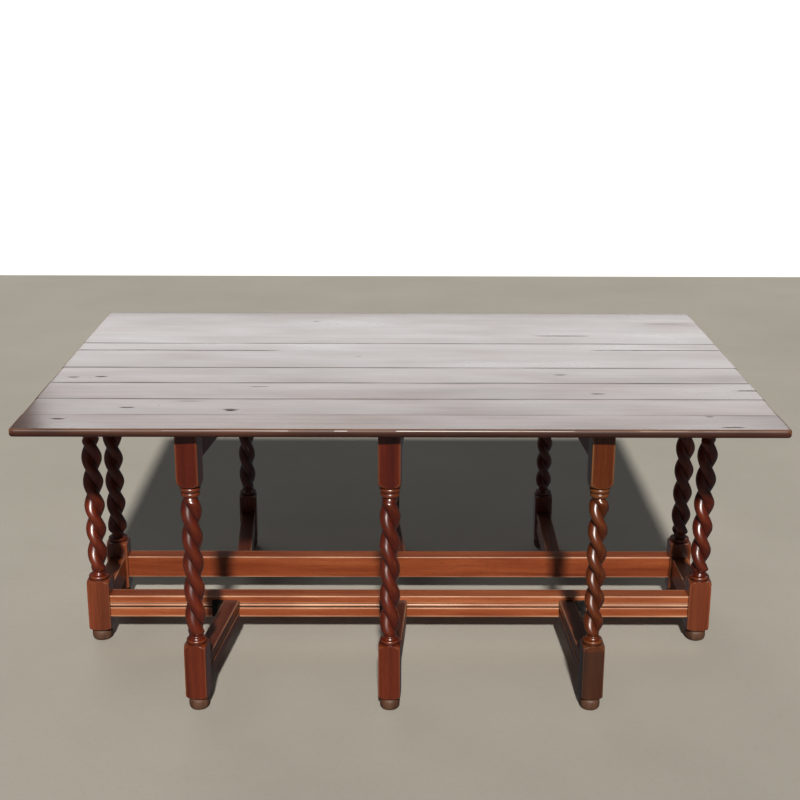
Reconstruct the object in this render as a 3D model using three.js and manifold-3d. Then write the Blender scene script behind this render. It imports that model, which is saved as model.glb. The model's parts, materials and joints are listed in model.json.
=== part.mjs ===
// Gateleg table with barley-twist legs: a fixed frame of four corner legs, aprons and stretchers,
// a centre top of two boards, a hinged leaf on each long side, and three swinging gates a side.
// Millimetres, +Z up, X along the table, -Y the front. The origin is on the floor under the centre.

import * as THREE from 'three';
import { mergeVertices } from 'three/addons/utils/BufferGeometryUtils.js';
import Module from 'manifold-3d';

const wasm = await Module();
wasm.setup();

// ---------------------------------------------------------------- driving dimensions

const GAP = 0.3; // between pieces that touch
const MERGE_DISTANCE = 1e-4; // vertices closer than this are one

// Top
const TOP_LENGTH = 1800;
const TOP_WIDTH = 1180;
const TOP_HEIGHT = 750;
const TOP_THICKNESS = 20;
const TOP_CORNER_RADIUS = 13;
const TOP_CORNER_SEGMENTS = 4;
const NOSING_DEPTH = 8; // height of the rounding at the top and bottom arris
const NOSING_WIDTH = 6; // how far the rounding cuts in from the edge
const NOSING_SEGMENTS = 3;
const LEAF_JOINT_Y = 202; // middle of the gap between the centre section and a leaf
const LEAF_GAP = 2;
const UNDERSIDE = TOP_HEIGHT - TOP_THICKNESS;
// Board joints, as Y from the front edge of each section to its back edge.
const FRONT_LEAF_JOINTS = [-TOP_WIDTH / 2, -477, -345, -(LEAF_JOINT_Y + LEAF_GAP / 2)];
const CENTRE_JOINTS = [-(LEAF_JOINT_Y - LEAF_GAP / 2), -55, LEAF_JOINT_Y - LEAF_GAP / 2];
const BACK_LEAF_JOINTS = [LEAF_JOINT_Y + LEAF_GAP / 2, TOP_WIDTH / 2];

// Legs
const LEG_TOP = UNDERSIDE - GAP;
const CORNER_BLOCK = 60;
const CORNER_LEG_X = 817;
const CORNER_LEG_Y = 134;
const GATE_BLOCK = 54;
const TWIST_BOTTOM = 196;
const CORNER_TWIST_TOP = 585;
const GATE_TWIST_TOP = 561;
const TWIST_FADE = 14; // length over which the strands grow out of the beads
const CORNER_STRAND_RADIUS = 17.5;
const CORNER_STRAND_OFFSET = 9.8;
const GATE_STRAND_RADIUS = 17;
const GATE_STRAND_OFFSET = 8.6;
const LONG_PITCH = 136;
const SHORT_PITCH = 120;
const LEG_COLUMNS = 12;
const TWIST_RINGS_PER_TURN = 8;

// Rings of a leg, as [height, size]. A turned ring's size is its radius on a leg with a 60 mm block.
// A block ring's size is the radius that the lathe cuts its corners to, as a part of half the block.
const UNCUT = Math.SQRT2;
const FOOT = [[0, 24], [4, 27.5], [24, 27.5], [31, 22]];
const LOWER_BLOCK = [[33, 1.03], [40, UNCUT], [166, UNCUT], [173, 1.2], [178, 0.98]];
const LOWER_BEAD = [[181, 24], [190, 28], [TWIST_BOTTOM, 24]];
// These heights are counted from the top of the twist.
const UPPER_BEADS = [[0, 22.5], [5.5, 25.6], [11.7, 22.2], [18.5, 27.6], [25, 22.6]];
const UPPER_BLOCK = [[26, 0.82], [34, 1.15], [47, UNCUT]];

// Frame
const FRAME_FACE_Y = 157; // outer face of the long aprons and stretchers
const FRAME_FACE_X = 840; // outer face of the end aprons and stretchers
const APRON_BOTTOM = 640;
const APRON_THICKNESS = 22;
const STRETCHER_BOTTOM = 70;
const STRETCHER_HEIGHT = 63;
const STRETCHER_THICKNESS = 46;

// The moulded face of a stretcher or lower rail, from its bottom to its top, as [depth below the
// face, part of the height]: a lower band, a groove, a small bead, a second groove and a flat band.
const MOULDING = [
  [3, 0],
  [1, 0.05],
  [1, 0.43],
  [5.4, 0.46],
  [5.4, 0.49],
  [2.2, 0.53],
  [2.2, 0.58],
  [4.5, 0.62],
  [0, 0.66],
  [0, 0.985],
  [1, 1],
];

// Gates
const GATE_SPACING = 456; // from the middle gate to an outer gate, along the frame
const GATE_RAIL_THICKNESS = 42;
const GATE_REACH = 353; // from the hinge axis to the leg's centre, along the rail
const GATE_RAIL_END_GAP = 0.5; // between the rail's square end and the frame when it stands square
const LOWER_RAIL_BOTTOM = 60;
const UPPER_RAIL_BOTTOM = 644;
const UPPER_RAIL_HEIGHT = 78;

// Gate hinges
const HINGE_AXIS_OFFSET = 5; // from the axis to the frame's face, and to the rail's face
const GATE_BARREL_RADIUS = 4.5;
const GATE_PLATE_WIDTH = 28;
const GATE_PLATE_THICKNESS = 1.6;
const UPPER_GATE_HINGE = { bottom: 653, height: 60 };
const LOWER_GATE_HINGE = { bottom: 72, height: 50 };

// Leaf hinges
const LEAF_HINGE_SPACING = 600;
const LEAF_HINGE_LENGTH = 60;
const LEAF_PLATE_REACH = 26; // from the pin to the plate's far edge
const LEAF_PLATE_THICKNESS = 1.6;
const LEAF_BARREL_RADIUS = 2.9;
const LEAF_BARREL_DROP = 3.3; // pin's centre below the underside
const LEAF_KNUCKLES = 5;
const BARREL_SEGMENTS = 8;

// side is -1 at the front and 1 at the back; fold is -1 where the gate closes to the left.
// rest is how far the gate stands from square to the frame, in degrees, towards its closed side.
// lobe is a height where the two strands face left and right.
const GATES = [
  { name: 'front_left', side: -1, fold: -1, at: -1, rest: 7, pitch: LONG_PITCH, lobe: 460 },
  { name: 'front_middle', side: -1, fold: -1, at: 0, rest: 4, pitch: LONG_PITCH, lobe: 441 },
  { name: 'front_right', side: -1, fold: 1, at: 1, rest: 2.9, pitch: SHORT_PITCH, lobe: 470 },
  { name: 'back_left', side: 1, fold: -1, at: -1, rest: 3.6, pitch: LONG_PITCH, lobe: 312 },
  { name: 'back_middle', side: 1, fold: -1, at: 0, rest: 4.3, pitch: LONG_PITCH, lobe: 441 },
  { name: 'back_right', side: 1, fold: 1, at: 1, rest: 0.5, pitch: SHORT_PITCH, lobe: 285 },
];

const CORNERS = [
  { name: 'front_left', x: -1, y: -1, lobe: 460 },
  { name: 'front_right', x: 1, y: -1, lobe: 460 },
  { name: 'back_left', x: -1, y: 1, lobe: 431 },
  { name: 'back_right', x: 1, y: 1, lobe: 458 },
];

const SIDES = [
  { name: 'front', side: -1 },
  { name: 'back', side: 1 },
];

const ENDS = [
  { name: 'left', end: -1 },
  { name: 'right', end: 1 },
];

// ---------------------------------------------------------------- materials

const wood = (color, roughness) => new THREE.MeshStandardMaterial({ color, roughness, metalness: 0 });
const topWood = wood(0x6e4a3f, 0.4);
const legWood = wood(0x5a2012, 0.25);
const stretcherWood = wood(0x93462a, 0.35);
const iron = new THREE.MeshStandardMaterial({ color: 0x2b2623, roughness: 0.6, metalness: 0.8 });

// ---------------------------------------------------------------- helpers

const table = new THREE.Group();

function addMesh(parent, name, geometry, material, position = [0, 0, 0]) {
  const mesh = new THREE.Mesh(geometry, material);
  mesh.name = name;
  mesh.position.set(...position);
  parent.add(mesh);
}

function toSolid(geometry) {
  const bare = geometry.clone();
  bare.deleteAttribute('normal');
  bare.deleteAttribute('uv');
  const merged = mergeVertices(bare, MERGE_DISTANCE);
  const vertProperties = new Float32Array(merged.attributes.position.array);
  const triVerts = new Uint32Array(merged.index.array);
  return new wasm.Manifold(new wasm.Mesh({ numProp: 3, vertProperties, triVerts }));
}

function toGeometry(solid) {
  const mesh = solid.getMesh();
  const geometry = new THREE.BufferGeometry();
  geometry.setAttribute('position', new THREE.BufferAttribute(mesh.vertProperties, 3));
  geometry.setIndex(new THREE.BufferAttribute(mesh.triVerts, 1));
  geometry.computeVertexNormals();
  return geometry;
}

function box(x0, x1, y0, y1, z0, z1) {
  const geometry = new THREE.BoxGeometry(x1 - x0, y1 - y0, z1 - z0);
  return geometry.translate((x0 + x1) / 2, (y0 + y1) / 2, (z0 + z1) / 2);
}

// A straight bar of one section. The section's +x turns to the outward direction and its +y to +Z,
// and the bar is centred on its own length.
function bar(section, length, outward) {
  const geometry = new THREE.ExtrudeGeometry(section, { depth: length, bevelEnabled: false });
  const up = new THREE.Vector3(0, 0, 1);
  const along = new THREE.Vector3().crossVectors(outward, up);
  geometry.translate(0, 0, -length / 2);
  return geometry.applyMatrix4(new THREE.Matrix4().makeBasis(outward, up, along));
}

function rectangle(width, height) {
  const shape = new THREE.Shape();
  shape.moveTo(-width / 2, 0);
  shape.lineTo(width / 2, 0);
  shape.lineTo(width / 2, height);
  shape.lineTo(-width / 2, height);
  shape.closePath();
  return shape;
}

// Section of a stretcher or lower rail, moulded on its outward face and plain on the other.
function mouldedSection(width, height) {
  const face = width / 2;
  const shape = new THREE.Shape();
  shape.moveTo(-face, 0);
  for (const [depth, part] of MOULDING) {
    shape.lineTo(face - depth, height * part);
  }
  shape.lineTo(-face, height);
  shape.closePath();
  return shape;
}

// ---------------------------------------------------------------- top

function topSlab() {
  const x = TOP_LENGTH / 2;
  const y = TOP_WIDTH / 2;
  const r = TOP_CORNER_RADIUS;
  const outline = new THREE.Shape();
  outline.moveTo(-x + r, -y);
  outline.lineTo(x - r, -y);
  outline.absarc(x - r, -y + r, r, -Math.PI / 2, 0);
  outline.lineTo(x, y - r);
  outline.absarc(x - r, y - r, r, 0, Math.PI / 2);
  outline.lineTo(-x + r, y);
  outline.absarc(-x + r, y - r, r, Math.PI / 2, Math.PI);
  outline.lineTo(-x, -y + r);
  outline.absarc(-x + r, -y + r, r, Math.PI, Math.PI * 1.5);
  const geometry = new THREE.ExtrudeGeometry(outline, {
    depth: TOP_THICKNESS - 2 * NOSING_DEPTH,
    curveSegments: TOP_CORNER_SEGMENTS,
    bevelEnabled: true,
    bevelThickness: NOSING_DEPTH,
    bevelSize: NOSING_WIDTH,
    bevelOffset: -NOSING_WIDTH,
    bevelSegments: NOSING_SEGMENTS,
  });
  return toSolid(geometry.translate(0, 0, UNDERSIDE + NOSING_DEPTH));
}

// Boards are strips of one rounded slab, each between two of the joint lines.
function addBoards(slab, names, joints) {
  names.forEach((name, i) => {
    const front = joints[i] + (i > 0 ? GAP / 2 : 0);
    const back = joints[i + 1] - (i < names.length - 1 ? GAP / 2 : 0);
    const strip = toSolid(box(-TOP_LENGTH, TOP_LENGTH, front, back, 0, 2 * TOP_HEIGHT));
    addMesh(table, name, toGeometry(slab.intersect(strip)), topWood);
  });
}

// ---------------------------------------------------------------- legs

// A leg is a loft of rings with the same number of points. A ring has a height, a radius for each
// direction, and the direction of its first point, which follows the strands through the twist.
function loft(rings) {
  const step = (2 * Math.PI) / LEG_COLUMNS;
  const positions = [];
  const triangles = [];
  for (const { z, start, radius } of rings) {
    for (let column = 0; column < LEG_COLUMNS; column++) {
      const angle = start + column * step;
      const r = radius(angle);
      positions.push(r * Math.cos(angle), r * Math.sin(angle), z);
    }
  }
  for (let ring = 0; ring < rings.length - 1; ring++) {
    for (let column = 0; column < LEG_COLUMNS; column++) {
      const next = (column + 1) % LEG_COLUMNS;
      const low = ring * LEG_COLUMNS;
      const high = low + LEG_COLUMNS;
      triangles.push(low + column, low + next, high + next);
      triangles.push(low + column, high + next, high + column);
    }
  }
  const last = (rings.length - 1) * LEG_COLUMNS;
  for (let column = 1; column < LEG_COLUMNS - 1; column++) {
    triangles.push(0, column + 1, column);
    triangles.push(last, last + column, last + column + 1);
  }
  const geometry = new THREE.BufferGeometry();
  geometry.setAttribute('position', new THREE.Float32BufferAttribute(positions, 3));
  geometry.setIndex(triangles);
  geometry.computeVertexNormals();
  return geometry;
}

// Distance from a square's middle to its outline.
function squareRadius(half, angle) {
  return half / Math.max(Math.abs(Math.cos(angle)), Math.abs(Math.sin(angle)));
}

// Two round strands side by side: the radius of their joined outline.
function strandRadius(radius, offset, angle) {
  const across = offset * Math.sin(angle);
  return offset * Math.abs(Math.cos(angle)) + Math.sqrt(radius * radius - across * across);
}

// Turned foot, square block with lathe-rounded shoulders, bead, double twist, two beads, square block.
function legGeometry({ block, strand, offset, twistTop, pitch, lobe }) {
  const half = block / 2;
  const scale = block / CORNER_BLOCK;
  const step = (2 * Math.PI) / LEG_COLUMNS;
  const rings = [];
  let start = step / 2; // puts a point on each corner of the square blocks
  const turned = (z, size) => rings.push({ z, start, radius: () => size * scale });
  const squared = (z, size) => {
    rings.push({ z, start, radius: (angle) => Math.min(squareRadius(half, angle), size * half) });
  };

  FOOT.forEach(([z, size]) => turned(z, size));
  LOWER_BLOCK.forEach(([z, size]) => squared(z, size));
  LOWER_BEAD.forEach(([z, size]) => turned(z, size));

  const strandAngle = (z) => (-2 * Math.PI * (z - lobe)) / pitch; // left-handed
  const first = TWIST_BOTTOM + TWIST_FADE / 2;
  const last = twistTop - TWIST_FADE / 2;
  const count = Math.round(((last - first) / pitch) * TWIST_RINGS_PER_TURN);
  start = strandAngle(first) + step * Math.round((start - strandAngle(first)) / step);
  for (let i = 0; i <= count; i++) {
    const z = first + ((last - first) * i) / count;
    const fade = Math.min(1, (z - TWIST_BOTTOM) / TWIST_FADE, (twistTop - z) / TWIST_FADE);
    const lean = strandAngle(z);
    rings.push({
      z,
      start: start + lean - strandAngle(first),
      radius: (angle) => strandRadius(strand, offset * fade, angle - lean),
    });
  }
  const end = start + strandAngle(last) - strandAngle(first);
  start = step / 2 + step * Math.round((end - step / 2) / step);

  UPPER_BEADS.forEach(([above, size]) => turned(twistTop + above, size));
  UPPER_BLOCK.forEach(([above, size]) => squared(twistTop + above, size));
  squared(LEG_TOP, UNCUT);
  return loft(rings);
}

// ---------------------------------------------------------------- hinges

// Frame side of a gate hinge: a plate on the frame's face that ends in the barrel. The section is
// drawn in plan, with the pin at the origin, for a plate that reaches towards fold.
function gateHingeGeometry(side, fold, height) {
  const inner = HINGE_AXIS_OFFSET - GAP;
  const outer = inner - GATE_PLATE_THICKNESS;
  const plate = box(0, GATE_PLATE_WIDTH, outer, inner, 0, height);
  const radius = GATE_BARREL_RADIUS;
  const barrel = new THREE.CylinderGeometry(radius, radius, height, BARREL_SEGMENTS);
  barrel.rotateX(Math.PI / 2).translate(0, 0, height / 2);
  return toGeometry(toSolid(plate).add(toSolid(barrel)).scale([fold, -side, 1]));
}

// One half of a leaf hinge with its own knuckles, drawn with the pin at the origin along X.
// reach is the direction of the plate from the pin, and odd picks every second knuckle.
function leafPlateGeometry(reach, odd) {
  const top = LEAF_BARREL_DROP - GAP;
  const bottom = top - LEAF_PLATE_THICKNESS;
  const radius = LEAF_BARREL_RADIUS;
  const clear = radius + 2 * GAP;
  const half = LEAF_HINGE_LENGTH / 2;
  const across = (near, far) => (reach > 0 ? [near, far] : [-far, -near]);
  let solid = toSolid(box(-half, half, ...across(clear, LEAF_PLATE_REACH), bottom, top));
  const knuckle = LEAF_HINGE_LENGTH / LEAF_KNUCKLES;
  for (let i = odd ? 1 : 0; i < LEAF_KNUCKLES; i += 2) {
    const x0 = -half + i * knuckle + GAP / 2;
    const x1 = x0 + knuckle - GAP;
    const tongue = toSolid(box(x0, x1, ...across(0, clear + 1), bottom, top));
    const barrel = new THREE.CylinderGeometry(radius, radius, x1 - x0, BARREL_SEGMENTS);
    barrel.rotateZ(Math.PI / 2).translate((x0 + x1) / 2, 0, 0);
    solid = solid.add(tongue).add(toSolid(barrel));
  }
  return toGeometry(solid);
}

// ---------------------------------------------------------------- assembly

const slab = topSlab();
const frontLeafBoards = ['front_leaf_board_outer', 'front_leaf_board_middle', 'front_leaf_board_inner'];
addBoards(slab, frontLeafBoards, FRONT_LEAF_JOINTS);
addBoards(slab, ['centre_board_front', 'centre_board_back'], CENTRE_JOINTS);
addBoards(slab, ['back_leaf_board'], BACK_LEAF_JOINTS);

for (const { name, x, y, lobe } of CORNERS) {
  const geometry = legGeometry({
    block: CORNER_BLOCK,
    strand: CORNER_STRAND_RADIUS,
    offset: CORNER_STRAND_OFFSET,
    twistTop: CORNER_TWIST_TOP,
    pitch: LONG_PITCH,
    lobe,
  });
  addMesh(table, `corner_leg_${name}`, geometry, legWood, [x * CORNER_LEG_X, y * CORNER_LEG_Y, 0]);
}

const apronHeight = LEG_TOP - APRON_BOTTOM;
const longSpan = 2 * (CORNER_LEG_X - CORNER_BLOCK / 2 - GAP);
const endSpan = 2 * (CORNER_LEG_Y - CORNER_BLOCK / 2 - GAP);
const apronSection = rectangle(APRON_THICKNESS, apronHeight);
const stretcherSection = mouldedSection(STRETCHER_THICKNESS, STRETCHER_HEIGHT);

for (const { name, side } of SIDES) {
  const outward = new THREE.Vector3(0, side, 0);
  const apronY = side * (FRAME_FACE_Y - APRON_THICKNESS / 2);
  const stretcherY = side * (FRAME_FACE_Y - STRETCHER_THICKNESS / 2);
  const apron = bar(apronSection, longSpan, outward);
  const stretcher = bar(stretcherSection, longSpan, outward);
  addMesh(table, `long_apron_${name}`, apron, legWood, [0, apronY, APRON_BOTTOM]);
  addMesh(table, `long_stretcher_${name}`, stretcher, stretcherWood, [0, stretcherY, STRETCHER_BOTTOM]);
}

for (const { name, end } of ENDS) {
  const outward = new THREE.Vector3(end, 0, 0);
  const apronX = end * (FRAME_FACE_X - APRON_THICKNESS / 2);
  const stretcherX = end * (FRAME_FACE_X - STRETCHER_THICKNESS / 2);
  const apron = bar(apronSection, endSpan, outward);
  const stretcher = bar(stretcherSection, endSpan, outward);
  addMesh(table, `end_apron_${name}`, apron, legWood, [apronX, 0, APRON_BOTTOM]);
  addMesh(table, `end_stretcher_${name}`, stretcher, stretcherWood, [stretcherX, 0, STRETCHER_BOTTOM]);
}

const railOffset = HINGE_AXIS_OFFSET + GATE_RAIL_THICKNESS / 2;
const railInnerEnd = -(HINGE_AXIS_OFFSET - GATE_RAIL_END_GAP);
const railOuterEnd = GATE_REACH - GATE_BLOCK / 2 - GAP;
const railLength = railOuterEnd - railInnerEnd;
const upperRailSection = rectangle(GATE_RAIL_THICKNESS, UPPER_RAIL_HEIGHT);
const lowerRailSection = mouldedSection(GATE_RAIL_THICKNESS, STRETCHER_HEIGHT);

for (const { name, side, fold, at, rest, pitch, lobe } of GATES) {
  const axisX = at * GATE_SPACING + fold * railOffset;
  const axisY = side * (FRAME_FACE_Y + HINGE_AXIS_OFFSET);

  // The gate's own group turns about the hinge pins. Its rail and leg lie beside the pins, on the
  // side away from the fold, and the moulding is on the face that shows when the gate is closed.
  const gate = new THREE.Group();
  gate.position.set(axisX, axisY, 0);
  gate.rotation.z = THREE.MathUtils.degToRad(-side * fold * rest);
  table.add(gate);
  const railX = -fold * railOffset;
  const railY = (side * (railInnerEnd + railOuterEnd)) / 2;
  const showing = new THREE.Vector3(-fold, 0, 0);
  const leg = legGeometry({
    block: GATE_BLOCK,
    strand: GATE_STRAND_RADIUS,
    offset: GATE_STRAND_OFFSET,
    twistTop: GATE_TWIST_TOP,
    pitch,
    lobe,
  });
  const upperRail = bar(upperRailSection, railLength, showing);
  const lowerRail = bar(lowerRailSection, railLength, showing);
  addMesh(gate, `gate_leg_${name}`, leg, legWood, [railX, side * GATE_REACH, 0]);
  addMesh(gate, `gate_upper_rail_${name}`, upperRail, legWood, [railX, railY, UPPER_RAIL_BOTTOM]);
  addMesh(gate, `gate_lower_rail_${name}`, lowerRail, stretcherWood, [railX, railY, LOWER_RAIL_BOTTOM]);

  const upperHinge = gateHingeGeometry(side, fold, UPPER_GATE_HINGE.height);
  const lowerHinge = gateHingeGeometry(side, fold, LOWER_GATE_HINGE.height);
  addMesh(table, `gate_hinge_upper_${name}`, upperHinge, iron, [axisX, axisY, UPPER_GATE_HINGE.bottom]);
  addMesh(table, `gate_hinge_lower_${name}`, lowerHinge, iron, [axisX, axisY, LOWER_GATE_HINGE.bottom]);
}

const LEAF_HINGES = [
  { name: 'left', at: -1 },
  { name: 'middle', at: 0 },
  { name: 'right', at: 1 },
];

for (const { name: sideName, side } of SIDES) {
  for (const { name, at } of LEAF_HINGES) {
    const pin = [at * LEAF_HINGE_SPACING, side * LEAF_JOINT_Y, UNDERSIDE - LEAF_BARREL_DROP];
    const fixed = leafPlateGeometry(-side, false);
    const moving = leafPlateGeometry(side, true);
    addMesh(table, `leaf_hinge_fixed_${sideName}_${name}`, fixed, iron, pin);
    addMesh(table, `leaf_hinge_moving_${sideName}_${name}`, moving, iron, pin);
  }
}

export default table;
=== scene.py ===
"""A gateleg table with barley-twist legs: its looks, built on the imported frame.

Metres, +X along the table, -Y the front, +Z up. Small sizes are written as millimetres times MM.
"""

import json
import math

import bpy
import numpy as np
from mathutils import Matrix, Vector


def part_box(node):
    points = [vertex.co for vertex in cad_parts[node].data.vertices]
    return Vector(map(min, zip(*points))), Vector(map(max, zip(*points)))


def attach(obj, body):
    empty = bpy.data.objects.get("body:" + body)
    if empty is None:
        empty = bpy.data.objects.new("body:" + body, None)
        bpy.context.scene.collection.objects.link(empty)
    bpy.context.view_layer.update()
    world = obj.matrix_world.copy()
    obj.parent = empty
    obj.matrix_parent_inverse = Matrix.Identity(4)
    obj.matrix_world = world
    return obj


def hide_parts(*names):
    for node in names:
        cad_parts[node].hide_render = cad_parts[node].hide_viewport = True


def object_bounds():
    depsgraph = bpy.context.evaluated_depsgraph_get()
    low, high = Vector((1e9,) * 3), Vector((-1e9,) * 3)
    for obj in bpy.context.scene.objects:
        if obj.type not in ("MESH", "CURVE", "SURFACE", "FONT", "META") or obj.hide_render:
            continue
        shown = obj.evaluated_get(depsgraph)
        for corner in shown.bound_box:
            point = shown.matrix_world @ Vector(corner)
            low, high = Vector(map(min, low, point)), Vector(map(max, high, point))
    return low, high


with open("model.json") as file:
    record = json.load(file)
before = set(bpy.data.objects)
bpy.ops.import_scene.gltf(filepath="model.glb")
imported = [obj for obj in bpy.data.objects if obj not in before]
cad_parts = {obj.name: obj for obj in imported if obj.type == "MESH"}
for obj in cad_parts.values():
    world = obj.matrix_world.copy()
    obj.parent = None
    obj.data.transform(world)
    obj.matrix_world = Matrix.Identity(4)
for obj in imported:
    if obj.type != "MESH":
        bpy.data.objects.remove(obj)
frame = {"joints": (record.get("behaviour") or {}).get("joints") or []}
cad_low, cad_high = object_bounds()

MM = 0.001
UP = Vector((0, 0, 1))
GAP = 0.3 * MM  # between neighbouring pieces


# -------------------------------- sizes that several pieces share

TABLE_TOP = cad_high.z
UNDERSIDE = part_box("back_leaf_board")[0].z
JOINTS = {joint["child"]: joint for joint in frame["joints"]}
SIDES = {"front": -1, "back": 1}
ENDS = {"left": -1, "right": 1}
CORNERS = [(side, end) for side in SIDES for end in ENDS]
POSITIONS = ("left", "middle", "right")
GATES = [(side, position) for side in SIDES for position in POSITIONS]

CORNER_HALF = 30 * MM  # half the width of a leg's square blocks
GATE_HALF = 27 * MM
TWIST_BOTTOM = 196 * MM
TWIST_FADE = 16 * MM  # over which a twist grows out of the round at each end
CORNER_TWIST_TOP = 585 * MM
GATE_TWIST_TOP = 561 * MM
LONG_PITCH = 136 * MM
SHORT_PITCH = 120 * MM

# Height at which a leg's two strands face left and right, and the pitch of its strands.
TWISTS = {
    "corner_leg_front_left": (460 * MM, LONG_PITCH),
    "corner_leg_front_right": (460 * MM, LONG_PITCH),
    "corner_leg_back_left": (431 * MM, LONG_PITCH),
    "corner_leg_back_right": (458 * MM, LONG_PITCH),
    "gate_leg_front_left": (460 * MM, LONG_PITCH),
    "gate_leg_front_middle": (441 * MM, LONG_PITCH),
    "gate_leg_front_right": (470 * MM, SHORT_PITCH),
    "gate_leg_back_left": (312 * MM, LONG_PITCH),
    "gate_leg_back_middle": (441 * MM, LONG_PITCH),
    "gate_leg_back_right": (285 * MM, SHORT_PITCH),
}

# Radius of a leg's two strands, and how far each one's middle lies from the leg's. They vary from
# leg to leg, as hand-cut ones do.
CORNER_STRANDS = (16.2 * MM, 10.6 * MM)
GATE_STRANDS = {
    "left": (17.2 * MM, 8.2 * MM),
    "middle": (16.0 * MM, 9.2 * MM),
    "right": (14.6 * MM, 9.5 * MM),
}


def gate_of(side, position):
    """A gate's body, its matrix from square to rest about the hinge axis, and its fold direction."""
    body = f"gate_{side}_{position}"
    joint = JOINTS[body]
    axis = Vector(joint["axis"])
    rest = math.radians(-joint["range_deg"][0])
    hinge = Vector((joint["pos_m"][0], joint["pos_m"][1], 0))
    gate = Matrix.Translation(hinge) @ Matrix.Rotation(rest, 4, axis)
    fold = round(-axis.z / SIDES[side])
    return body, gate, fold


# -------------------------------- material nodes

class Nodes:
    """A short way to write a node tree: each call adds one node and returns its output."""

    def __init__(self, name):
        self.material = bpy.data.materials.new(name)
        self.material.use_nodes = True
        self.tree = self.material.node_tree
        self.shader = self.tree.nodes["Principled BSDF"]

    def add(self, kind, output=0, settings=None, **inputs):
        """An input is named by its socket's name, or by i and its number."""
        node = self.tree.nodes.new("ShaderNode" + kind)
        for key, value in (settings or {}).items():
            setattr(node, key, value)
        for key, value in inputs.items():
            socket = node.inputs[int(key[1:]) if key[0] == "i" and key[1:].isdigit() else key]
            self.put(socket, value)
        return node.outputs[output]

    def put(self, socket, value):
        if isinstance(value, bpy.types.NodeSocket):
            self.tree.links.new(value, socket)
        else:
            socket.default_value = value

    def stretched(self, place, scale, **noise):
        """Noise on the place vector, scaled by a different number along each axis."""
        vector = self.add("Mapping", Vector=place, Scale=scale)
        return self.add("TexNoise", Vector=vector, Scale=1.0, **noise)

    def levels(self, value, low, high, to_low=0.0, to_high=1.0):
        return self.add("MapRange", i0=value, i1=low, i2=high, i3=to_low, i4=to_high)

    def maths(self, operation, a, b):
        return self.add("Math", settings={"operation": operation}, i0=a, i1=b)

    def blend(self, factor, a, b):
        node = self.tree.nodes.new("ShaderNodeMix")
        node.data_type = "RGBA"
        self.put(node.inputs[0], factor)
        self.put(node.inputs[6], a)
        self.put(node.inputs[7], b)
        return node.outputs[2]

    def ramp(self, value, *stops):
        node = self.tree.nodes.new("ShaderNodeValToRGB")
        elements = node.color_ramp.elements
        while len(elements) < len(stops):
            elements.new(0.5)
        for element, (position, colour) in zip(elements, stops):
            element.position = position
            element.color = (*colour, 1)
        self.put(node.inputs[0], value)
        return node.outputs[0]

    def attribute(self, name):
        return self.add("Attribute", output=2, settings={"attribute_name": name})


# -------------------------------- wood and iron

# How many times a metre the marks of the wood come, along the grain and across it.
FIGURE = (1.1, 15)
BANDS = (2.0, 75)
FIBRE = (14, 520)
PORES = (45, 1100)
CLOUD = (2.6, 8)

# Painted sheen as well as weathering: this grey also stands in for the light that the polished top reflects.
BLEACHED_AND_SHEEN = (0.14, 0.118, 0.108, 1)  # wood that light and wiping have turned grey
# The dark colour of the darkening: real dirt in joints and splits, and painted shade in creases and grooves.
GRIME_AND_SHADE = (0.006, 0.004, 0.003, 1)
PORE_SHADE = 0.35  # of the wood's dark tone


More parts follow.
